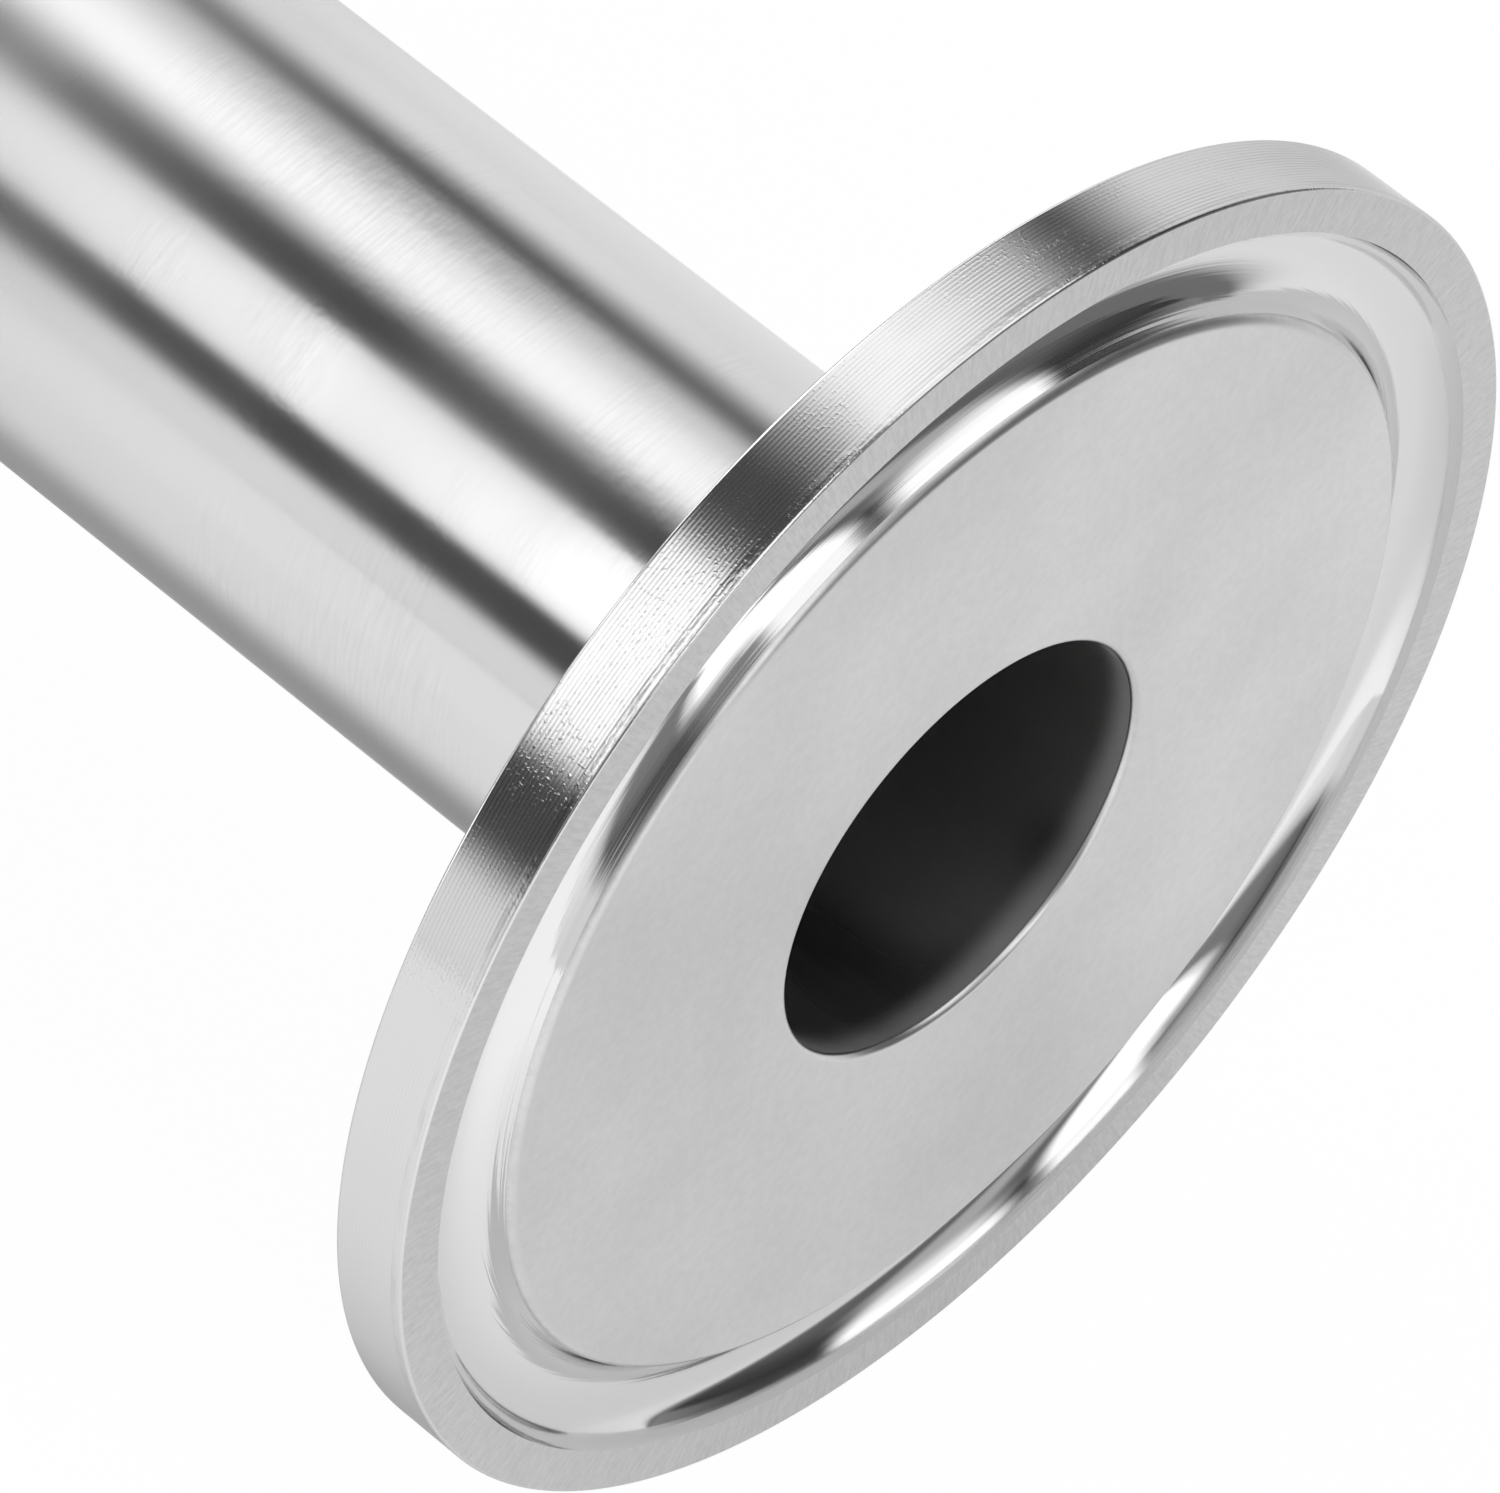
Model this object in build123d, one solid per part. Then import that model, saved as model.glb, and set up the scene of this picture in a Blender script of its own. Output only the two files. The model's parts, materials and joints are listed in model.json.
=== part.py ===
from build123d import *
from typing import NamedTuple
import math
import os

# Sanitary clamp wye in polished stainless steel, lying flat on the rims of its three ferrules.
# Three equal bores meet in a true Y: the stem runs along +Y and the two arms lean away from its axis.
# The origin is the centre of the stem's sealing face, +Y points into the stem and +Z is normal
# to the plane of the three legs. Sizes are in millimetres, angles in degrees.

# Legs, each from the junction's centre to its sealing face
stem_length = 60.0
arm_length = 60.0
arm_angle = 45.0

# Tube
tube_outer_diameter = 19.05
tube_wall = 1.5

# Ferrule, turned from bar: a clamp flange with a conical back on a hub as thick as the tube
flange_diameter = 50.5
rim_thickness = 2.85
back_cone_angle = 20.0
ferrule_length = 21.5
hub_fillet_radius = 2.0

# Gasket groove in the sealing face: a round floor that runs out at the outer edge, and a straight inner wall
groove_outer_diameter = 47.2
groove_depth = 1.5
groove_floor_radius = 1.6
groove_wall_angle = 65.0

# Small edge rounds of the ferrule
rim_front_round = 0.1
rim_rear_round = 0.15
groove_inner_round = 0.4
bore_edge_round = 0.25

# Weld where the three tubes meet: its outside is ground to a hollow blend, flush with the tubes
weld_blend_radius = 2.5
weld_margin = 0.25

tube_radius = tube_outer_diameter / 2
bore_radius = tube_radius - tube_wall
flange_radius = flange_diameter / 2
groove_outer_radius = groove_outer_diameter / 2
reach = 2 * (stem_length + arm_length)
junction = Location((0, stem_length, 0))

# Turns about the junction's upright axis, counted from the stem's own direction
right_turn = 180.0 - arm_angle
left_turn = -right_turn
right_seam_turn = right_turn / 2
left_seam_turn = left_turn / 2
crotch_turn = 180.0

# The weld covers the blend, which spreads furthest at the sharpest corner between two legs
sharpest_half_angle = math.radians(min(arm_angle, right_seam_turn))
weld_half_width = weld_blend_radius * math.cos(sharpest_half_angle) + weld_margin


class Leg(NamedTuple):
    """One leg: its turn and length, and the two mitre planes that end its tube."""

    turn: float
    length: float
    first_seam: float
    last_seam: float

    def place(self):
        """Location that takes a piece drawn on the stem's face to this leg's face."""
        return junction * Rot(0, 0, self.turn) * Pos(0, -self.length, 0)

    def rod(self, radius):
        """Solid rod from the end of the ferrule to the mitre planes."""
        ends = (Align.CENTER, Align.CENTER, Align.MIN)
        rod = Rot(-90, 0, 0) * Cylinder(radius, self.length - ferrule_length, align=ends)
        return (self.place() * Pos(0, ferrule_length, 0) * rod) & sector(self.first_seam, self.last_seam)


def sector(first_seam, last_seam):
    """Prism of all that lies between two mitre planes, which meet on the junction's upright axis."""
    turns = [math.radians(t) for t in (first_seam, (first_seam + last_seam) / 2, last_seam)]
    rim = [(reach * math.sin(t), -reach * math.cos(t)) for t in turns]
    return junction * extrude(make_face(Polyline((0, 0), *rim, close=True)), reach, both=True)


def weld_slab(seam_turn):
    """Slab as wide as the weld, from the junction's axis out along one mitre plane."""
    ends = (Align.CENTER, Align.MAX, Align.CENTER)
    return junction * Rot(0, 0, seam_turn) * Box(2 * weld_half_width, reach, 2 * reach, align=ends)


def corner(section, radius, depth):
    """Vertex of a section that is nearest to a point of its plane."""
    return section.vertices().sort_by_distance((radius, depth, 0))[0]


def gasket_groove():
    """Section of the groove, and the radius at which its inner wall meets the sealing face."""
    floor_depth = groove_depth - groove_floor_radius
    floor_centre = groove_outer_radius - math.sqrt(groove_floor_radius**2 - floor_depth**2)
    slope = math.radians(groove_wall_angle)
    foot_radius = floor_centre - groove_floor_radius * math.sin(slope)
    foot_depth = floor_depth + groove_floor_radius * math.cos(slope)
    mouth_radius = foot_radius - foot_depth / math.tan(slope)
    wall = Polyline((mouth_radius, 0), (foot_radius, foot_depth), (floor_centre, 0), close=True)
    floor = Pos(floor_centre, floor_depth) * Circle(groove_floor_radius)
    return floor + make_face(wall), mouth_radius


def ferrule_section():
    """Half section of a ferrule: X is the radius and Y the depth behind the sealing face."""
    cone_rise = (flange_radius - tube_radius) * math.tan(math.radians(back_cone_angle))
    cone_root = rim_thickness + cone_rise
    outline = Polyline(
        (bore_radius, 0),
        (flange_radius, 0),
        (flange_radius, rim_thickness),
        (tube_radius, cone_root),
        (tube_radius, ferrule_length),
        (bore_radius, ferrule_length),
        close=True,
    )
    groove, mouth_radius = gasket_groove()
    section = make_face(outline) - groove
    rounds = (
        (tube_radius, cone_root, hub_fillet_radius),
        (flange_radius, 0, rim_front_round),
        (flange_radius, rim_thickness, rim_rear_round),
        (mouth_radius, 0, groove_inner_round),
        (bore_radius, 0, bore_edge_round),
    )
    for radius, depth, size in rounds:
        section = fillet(corner(section, radius, depth), size)
    return section


legs = {
    "stem": Leg(0.0, stem_length, left_seam_turn, right_seam_turn),
    "right_arm": Leg(right_turn, arm_length, right_seam_turn, crotch_turn),
    "left_arm": Leg(left_turn, arm_length, -crotch_turn, left_seam_turn),
}

outer_rods = {name: leg.rod(tube_radius) for name, leg in legs.items()}
flow_path = Part() + [leg.rod(bore_radius) for leg in legs.values()]
weld_slabs = Part() + [weld_slab(turn) for turn in (right_seam_turn, crotch_turn, left_seam_turn)]

# The seams are the only elliptical edges of the joined rods, and their blend is cut out as the weld
joined_rods = Part() + list(outer_rods.values())
seams = joined_rods.edges().filter_by(GeomType.ELLIPSE)
junction_weld = (fillet(seams, weld_blend_radius) - flow_path) & weld_slabs

ferrule = revolve(ferrule_section(), Axis.Y)
pieces = {"junction_weld": junction_weld}
for name, leg in legs.items():
    pieces[f"{name}_ferrule"] = leg.place() * ferrule
    pieces[f"{name}_tube"] = outer_rods[name] - flow_path - weld_slabs

os.makedirs("parts", exist_ok=True)
for name, piece in pieces.items():
    export_step(piece, f"parts/{name}.step")
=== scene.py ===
"""Sanitary clamp wye in polished stainless steel.

Three turned ferrules end the legs of a mitred and welded tube Y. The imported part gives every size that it
holds. All lengths are in metres and all angles in degrees unless a name says otherwise. A leg's own frame
has its origin at the centre of the sealing face, +Y into the leg and +Z up.
"""

from __future__ import annotations

import json
import logging
import math
from dataclasses import dataclass, field
from enum import Enum

import bmesh
import bpy
from mathutils import Matrix, Vector

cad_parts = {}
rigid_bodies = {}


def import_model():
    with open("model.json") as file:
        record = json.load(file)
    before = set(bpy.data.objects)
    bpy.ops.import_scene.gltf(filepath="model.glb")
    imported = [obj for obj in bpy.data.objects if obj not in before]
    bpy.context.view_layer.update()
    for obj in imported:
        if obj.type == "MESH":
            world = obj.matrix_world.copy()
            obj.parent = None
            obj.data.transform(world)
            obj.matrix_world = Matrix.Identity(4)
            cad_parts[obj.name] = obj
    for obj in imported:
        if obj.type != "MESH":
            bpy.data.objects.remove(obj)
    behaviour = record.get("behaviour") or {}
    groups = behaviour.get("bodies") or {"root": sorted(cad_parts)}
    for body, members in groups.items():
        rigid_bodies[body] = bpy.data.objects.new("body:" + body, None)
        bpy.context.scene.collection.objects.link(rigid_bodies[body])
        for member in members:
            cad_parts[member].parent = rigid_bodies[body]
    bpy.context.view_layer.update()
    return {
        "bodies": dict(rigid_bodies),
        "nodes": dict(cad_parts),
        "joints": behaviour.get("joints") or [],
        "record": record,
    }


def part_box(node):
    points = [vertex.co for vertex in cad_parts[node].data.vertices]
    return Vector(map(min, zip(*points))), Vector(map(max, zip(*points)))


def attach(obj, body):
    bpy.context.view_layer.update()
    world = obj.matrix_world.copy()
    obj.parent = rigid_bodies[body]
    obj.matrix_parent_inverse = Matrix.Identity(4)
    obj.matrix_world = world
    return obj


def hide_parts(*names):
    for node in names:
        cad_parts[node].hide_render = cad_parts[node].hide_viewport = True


MM = 0.001
MICRON = 1e-6
BODY = "root"
SHARP_ANGLE = math.radians(35.0)
log = logging.getLogger("wye")


class Leg(Enum):
    """A leg of the wye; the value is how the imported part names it."""

    STEM = "stem"
    RIGHT_ARM = "right_arm"
    LEFT_ARM = "left_arm"

    @property
    def ferrule_node(self) -> str:
        """Name of the leg's ferrule."""
        return f"{self.value}_ferrule"

    @property
    def tube_node(self) -> str:
        """Name of the leg's tube."""
        return f"{self.value}_tube"


class Zone(Enum):
    """A stretch of a ferrule's surface that has a finish of its own; the value is its material index."""

    HUB = 0
    RIM = 1
    LAND = 2
    GROOVE = 3
    FACE = 4
    BORE = 5


@dataclass(frozen=True)
class WyeSizes:
    """Sizes and places that the pieces share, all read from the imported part.

    Attributes:
        flange_radius: Outer radius of a ferrule.
        bore_radius: Radius of the flow path.
        tube_radius: Outer radius of a tube.
        ferrule_length: Depth of a ferrule behind its sealing face.
        floor_height: Height at which the part lies.
        weld_half_width: Distance from a mitre plane to the weld's edge.
        junction: Where the three legs' axes meet.
        directions: Direction of each leg, from the junction outwards.
    """

    flange_radius: float
    bore_radius: float
    tube_radius: float
    ferrule_length: float
    floor_height: float
    weld_half_width: float
    junction: Vector
    directions: dict[Leg, Vector]

    @classmethod
    def from_frame(cls, frame: dict) -> WyeSizes:
        """Read the sizes.

        Args:
            frame: The loaded frame.

        Returns:
            The sizes of this wye.
        """
        mounts = {mount["name"]: mount for mount in frame["record"]["mounts"]}
        ferrule_low, ferrule_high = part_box(Leg.STEM.ferrule_node)
        tube_low, tube_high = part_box(Leg.STEM.tube_node)
        directions = {leg: Vector(mounts[f"{leg.value}_face"]["axis"]) for leg in Leg}
        arm_face, arm = Vector(mounts["right_arm_face"]["pos_m"]), directions[Leg.RIGHT_ARM]
        junction = arm_face - arm * (arm_face.x / arm.x)
        seam = (arm - directions[Leg.STEM]).normalized()
        return cls(
            flange_radius=mounts["stem_rim"]["dims"]["r_mm"] * MM,
            bore_radius=mounts["stem_bore"]["dims"]["r_mm"] * MM,
            tube_radius=(tube_high.z - tube_low.z) / 2,
            ferrule_length=ferrule_high.y,
            floor_height=ferrule_low.z,
            weld_half_width=(junction.y - tube_high.y) * seam.y,
            junction=junction,
            directions=directions,
        )

    def place(self, leg: Leg) -> Matrix:
        """Place of a leg's own frame in the row frame.

        Args:
            leg: The leg.

        Returns:
            The matrix that takes a piece from the leg's frame to its place.
        """
        direction = self.directions[leg]
        turn = Matrix.Rotation(math.atan2(direction.x, -direction.y), 4, "Z")
        return Matrix.Translation(self.junction) @ turn @ Matrix.Translation(-self.junction)


class TurnedSection:
    """Half section of a turned piece, drawn as one chain of edges: X is the radius and Y the depth."""

    hold = 0.03 * MM

    def __init__(self, radius: float, depth: float) -> None:
        """Start the chain.

        Args:
            radius: Radius of the first point.
            depth: Depth of the first point behind the sealing face.
        """
        self.mesh = bmesh.new()
        self.tip = self.mesh.verts.new((radius, depth, 0.0))

    def _step_to(self, place: Vector) -> None:
        """Extrude the chain's tip to a place."""
        self.tip = bmesh.ops.extrude_vert_indiv(self.mesh, verts=[self.tip])["verts"][0]
        self.tip.co = place

    def line_to(self, radius: float, depth: float) -> None:
        """Add a straight stretch, with a point close to each end that keeps its shading straight.

        Args:
            radius: Radius of the end.
            depth: Depth of the end.
        """
        start, end = self.tip.co.copy(), Vector((radius, depth, 0.0))
        run = end - start
        if run.length > 3 * self.hold:
            self._step_to(start + run.normalized() * self.hold)
            self._step_to(end - run.normalized() * self.hold)
        self._step_to(end)

    def arc(self, centre: tuple[float, float], turn: float, steps: int) -> None:
        """Add an arc about a centre.

        Args:
            centre: Radius and depth of the arc's centre.
            turn: Signed turn in degrees, counted from X towards Y.
            steps: Number of edges.
        """
        done = bmesh.ops.spin(
            self.mesh, geom=[self.tip], cent=(*centre, 0.0), axis=(0.0, 0.0, 1.0), angle=math.radians(turn),
            steps=steps, use_merge=False,
        )
        self.tip = next(part for part in done["geom_last"] if isinstance(part, bmesh.types.BMVert))

    def revolve(self, segments: int) -> bmesh.types.BMesh:
        """Close the chain and spin it about the leg's axis.

        Args:
            segments: Number of faces round the axis.

        Returns:
            The closed shell, with its faces pointing outwards.
        """
        mesh = self.mesh
        bmesh.ops.remove_doubles(mesh, verts=mesh.verts[:], dist=0.001 * MM)
        bmesh.ops.spin(
            mesh, geom=mesh.verts[:] + mesh.edges[:], cent=(0.0, 0.0, 0.0), axis=(0.0, 1.0, 0.0),
            angle=math.tau, steps=segments, use_merge=True,
        )
        bmesh.ops.recalc_face_normals(mesh, faces=mesh.faces[:])
        return mesh


def finish_mesh(mesh: bmesh.types.BMesh, name: str,
                materials: list[bpy.types.Material]) -> bpy.types.Object:
    """Make a smooth-shaded object of a mesh that is already in its place.

    Args:
        mesh: The mesh, which is freed.
        name: Name of the piece.
        materials: Its materials, in the order of its faces' indices.

    Returns:
        The new object, at the origin.
    """
    data = bpy.data.meshes.new(name)
    mesh.to_mesh(data)
    mesh.free()
    for material in materials:
        data.materials.append(material)
    data.shade_smooth()
    data.set_sharp_from_angle(angle=SHARP_ANGLE)
    piece = bpy.data.objects.new(name, data)
    bpy.context.scene.collection.objects.link(piece)
    return piece


class NodeGraph:
    """Adds shader nodes to a material or world and links them."""

    def __init__(self, tree: bpy.types.NodeTree) -> None:
        """Take over a node tree and empty it."""
        self.tree = tree
        tree.nodes.clear()

    def node(self, kind: str, inputs: dict | None = None, **settings: object) -> bpy.types.Node:
        """Add a node.

        Args:
            kind: The node's type name.
            inputs: Values or sockets for its inputs, by name or number.
            settings: Attributes of the node.

        Returns:
            The node.
        """
        made = self.tree.nodes.new(kind)
        for key, value in settings.items():
            setattr(made, key, value)
        for key, value in (inputs or {}).items():
            if isinstance(value, bpy.types.NodeSocket):
                self.tree.links.new(value, made.inputs[key])
            else:
                made.inputs[key].default_value = value
        return made

    def math(self, operation: str, *values: object, clamp: bool = False) -> bpy.types.NodeSocket:
        """Add a Math node.

        Args:
            operation: Its operation.
            values: Its inputs in order, numbers or sockets.
            clamp: Whether to keep the result between 0 and 1.

        Returns:
            The result.
        """
        inputs = dict(enumerate(values))
        return self.node("ShaderNodeMath", inputs, operation=operation, use_clamp=clamp).outputs[0]

    def remap(self, value: object, low: float, high: float, to_low: float,
              to_high: float) -> bpy.types.NodeSocket:
        """Ease a value from one range to another with a smooth step.

        Args:
            value: The value, a socket.
            low: Value that gives to_low.
            high: Value that gives to_high.
            to_low: Result at and below low.
            to_high: Result at and above high.

        Returns:
            The result.
        """
        inputs = {"Value": value, "From Min": low, "From Max": high, "To Min": to_low, "To Max": to_high}
        return self.node("ShaderNodeMapRange", inputs, interpolation_type="SMOOTHSTEP").outputs["Result"]

    def vector(self, x: object, y: object, z: object) -> bpy.types.NodeSocket:
        """Join three values to a vector."""
        return self.node("ShaderNodeCombineXYZ", {0: x, 1: y, 2: z}).outputs[0]

    def noise(self, vector: bpy.types.NodeSocket, scale: float, detail: float = 2.0,
              roughness: float = 0.5) -> bpy.types.NodeSocket:
        """Sample a noise pattern.

        Args:
            vector: Where to sample it.
            scale: Its scale.
            detail: Its octaves.
            roughness: How much the finer octaves count.

        Returns:
            The noise, about 0 to 1.
        """
        inputs = {"Vector": vector, "Scale": scale, "Detail": detail, "Roughness": roughness}
        return self.node("ShaderNodeTexNoise", inputs).outputs["Fac"]


@dataclass
class LegCoordinates:
    """Sockets that say where a surface point lies in a leg's own frame."""

    around_x: bpy.types.NodeSocket
    around_z: bpy.types.NodeSocket
    depth: bpy.types.NodeSocket
    radius: bpy.types.NodeSocket
    position: bpy.types.NodeSocket
    ring_direction: bpy.types.NodeSocket

    def ringed(self, graph: NodeGraph, around: float, along: float,
               run: bpy.types.NodeSocket | None = None) -> bpy.types.NodeSocket:
        """Stretch a pattern round the axis or across it.

        Args:
            graph: The material's nodes.
            around: Cells in one radian round the axis.
            along: Cells in one metre along the run.
            run: Distance that the cells are counted along; the depth, if left out.

        Returns:
            Where to sample the pattern.
        """
        run = self.depth if run is None else run
        x, z = (graph.math("MULTIPLY", part, around) for part in (self.around_x, self.around_z))
        return graph.vector(x, z, graph.math("MULTIPLY", run, along))

    def ring_noise(self, graph: NodeGraph, cells: tuple[float, float], detail: float = 2.0,
                   roughness: float = 0.5, run: bpy.types.NodeSocket | None = None) -> bpy.types.NodeSocket:
        """Sample a noise pattern that is stretched round the axis or across it.

        Args:
            graph: The material's nodes.
            cells: Cells in one radian round the axis, and in one metre along the run.
            detail: Its octaves.
            roughness: How much the finer octaves count.
            run: Distance that the cells are counted along; the depth, if left out.

        Returns:
            The noise, about 0 to 1.
        """
        return graph.noise(self.ringed(graph, *cells, run), 1.0, detail, roughness)


@dataclass(frozen=True)
class Steel:
    """A stainless steel finish on one leg: its base, and what each finish adds.

    Attributes:
        name: Name of the material.
        reflectance: Base colour of the bare metal, neutral.
        roughness: Roughness of the finish.
        stretch: How much more the marks blur reflections along the leg than round it, 0 to 1.
        grazing: Share of the usual reflectance that is left at a grazing look.
    """

    name: str
    reflectance: float = 0.69
    roughness: float = 0.1
    stretch: float = 0.0
    grazing: float = 1.0

    def material(self, sizes: WyeSizes, leg: Leg) -> bpy.types.Material:
        """Make the material for one leg.

        Args:
            sizes: The wye's sizes.
            leg: The leg whose axis the marks follow.

        Returns:
            The material.
        """
        made = bpy.data.materials.new(f"{self.name}_{leg.value}")
        made.use_nodes = True
        graph = NodeGraph(made.node_tree)
        shader = graph.node(
            "ShaderNodeBsdfPrincipled",
            {
                "Base Color": (*[self.reflectance] * 3, 1.0),
                "Metallic": 1.0,
                "Roughness": self.roughness,
                "Specular Tint": (*[self.grazing] * 3, 1.0),
                "Anisotropic": self.stretch,
                "Anisotropic Rotation": 0.25,
            },
        )
        output = graph.node("ShaderNodeOutputMaterial")
        graph.tree.links.new(shader.outputs[0], output.inputs["Surface"])
        at = self.coordinates(graph, sizes, leg)
        graph.tree.links.new(at.ring_direction, shader.inputs["Tangent"])
        self.dress(graph, shader, at)
        return made

    @staticmethod
    def coordinates(graph: NodeGraph, sizes: WyeSizes, leg: Leg) -> LegCoordinates:
        """Turn Object coordinates into the leg's own frame.

        Args:
            graph: The material's nodes.
            sizes: The wye's sizes.
            leg: The leg.

        Returns:
            The sockets.
        """
        to_leg = sizes.place(leg).inverted()
        mapping = graph.node(
            "ShaderNodeMapping",
            {
                "Vector": graph.node("ShaderNodeTexCoord").outputs["Object"],
                "Location": to_leg.to_translation(),
                "Rotation": to_leg.to_euler(),
            },
        )
        split = graph.node("ShaderNodeSeparateXYZ", {0: mapping.outputs[0]})
        x, depth, z = split.outputs
        squares = [graph.math("MULTIPLY", part, part) for part in (x, z)]
        radius = graph.math("SQRT", graph.math("ADD", *squares))
        around_x, around_z = (graph.math("DIVIDE", part, radius) for part in (x, z))
        tangent = graph.vector(graph.math("MULTIPLY", around_z, -1.0), 0.0, around_x)
        from_leg = {"Vector": tangent, "Rotation": sizes.place(leg).to_euler()}
        turned = graph.node("ShaderNodeMapping", from_leg, vector_type="VECTOR")
        return LegCoordinates(around_x, around_z, depth, radius, mapping.outputs[0], turned.outputs[0])

    def dress(self, graph: NodeGraph, shader: bpy.types.Node, at: LegCoordinates) -> None:
        """Add the finish's marks; the bare finish has none."""

    def tint(self, graph: NodeGraph, shader: bpy.types.Node, share: bpy.types.NodeSocket) -> None:
        """Let the metal's reflectance vary over the surface.

        Args:
            graph: The material's nodes.
            shader: The surface shader.
            share: What to multiply the reflectance by.
        """
        grey = graph.math("MULTIPLY", share, self.reflectance, clamp=True)
        graph.tree.links.new(grey, shader.inputs["Base Color"])

    @staticmethod
    def bump(graph: NodeGraph, shader: bpy.types.Node, height: bpy.types.NodeSocket, depth: float) -> None:
        """Give the surface relief.

        Args:
            graph: The material's nodes.
            shader: The surface shader.
            height: Height of the relief, 0 to 1.
            depth: Real height of 1, in metres.
        """
        relief = graph.node("ShaderNodeBump", {"Height": height, "Distance": depth, "Strength": 1.0})
        graph.tree.links.new(relief.outputs["Normal"], shader.inputs["Normal"])


@dataclass(frozen=True)
class PolishedTube(Steel):
    """Tube polished round its axis: faint streaks round it, and a haze that grows away from the ferrule.

    Attributes:
        cloudiness: How much rougher the finish is in its hazy patches.
        far_haze: How much rougher it is past the haze's depths.
        haze_depths: Depths between which that haze grows.
        wave_height: Height of the dents that the polishing left.
        dent_cells: Dents in one radian round the axis, and in one metre along it.
        hair_cells: Hairs in one radian round the axis, and in one metre along it.
        rubbed_depth: Depth of the middle of a rubbed spot on top.
        rubbed_aside: Where its middle lies round the axis.
        rubbed_wear: How much stronger the marks are there.
    """

    name: str = "polished_tube"
    roughness: float = 0.14
    stretch: float = 0.7
    cloudiness: float = 0.05
    far_haze: float = 0.14
    haze_depths: tuple[float, float] = (24.0 * MM, 42.0 * MM)
    wave_height: float = 7.0 * MICRON
    dent_cells: tuple[float, float] = (11.0, 1300.0)
    hair_cells: tuple[float, float] = (5.0, 7000.0)
    rubbed_depth: float = 30.0 * MM
    rubbed_aside: float = 0.03
    rubbed_wear: float = 0.85

    def dress(self, graph: NodeGraph, shader: bpy.types.Node, at: LegCoordinates) -> None:
        """Add dents and hairs round the tube, both in patches and on a rubbed spot, and the haze."""
        mark_strength = graph.math("MULTIPLY_ADD", self._rubbed_spot(graph, at), self.rubbed_wear,
                          graph.remap(graph.noise(at.position, 150.0), 0.48, 0.66, 0.1, 0.8))
        dent = at.ring_noise(graph, self.dent_cells, 2.0, 0.55)
        self.bump(graph, shader, graph.math("MULTIPLY", dent, mark_strength), self.wave_height)
        hair = at.ring_noise(graph, self.hair_cells, 2.0, 0.6)
        share = graph.math("MULTIPLY", graph.remap(hair, 0.35, 0.7, 0.02, -0.05), mark_strength)
        self.tint(graph, shader, graph.math("ADD", share, 1.0))
        cloud = graph.noise(at.position, 90.0)
        haze = graph.remap(cloud, 0.45, 0.7, self.roughness, self.roughness + self.cloudiness)
        haze = graph.math("ADD", haze, graph.remap(at.depth, *self.haze_depths, 0.0, self.far_haze))
        graph.tree.links.new(haze, shader.inputs["Roughness"])

    def _rubbed_spot(self, graph: NodeGraph, at: LegCoordinates) -> bpy.types.NodeSocket:
        """Mask the rubbed spot.

        Args:
            graph: The material's nodes.
            at: Where the surface point lies.

        Returns:
            1 on the spot, falling to 0 round it.
        """
        along = graph.math("ABSOLUTE", graph.math("SUBTRACT", at.depth, self.rubbed_depth))
        aside = graph.math("ABSOLUTE", graph.math("SUBTRACT", at.around_x, self.rubbed_aside))
        spot = graph.math("MULTIPLY", graph.remap(along, 3.0 * MM, 8.0 * MM, 1.0, 0.0),
                          graph.remap(aside, 0.06, 0.22, 1.0, 0.0))
        return graph.math("MULTIPLY", spot, graph.remap(at.around_z, 0.0, 0.3, 0.0, 1.0))


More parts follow.
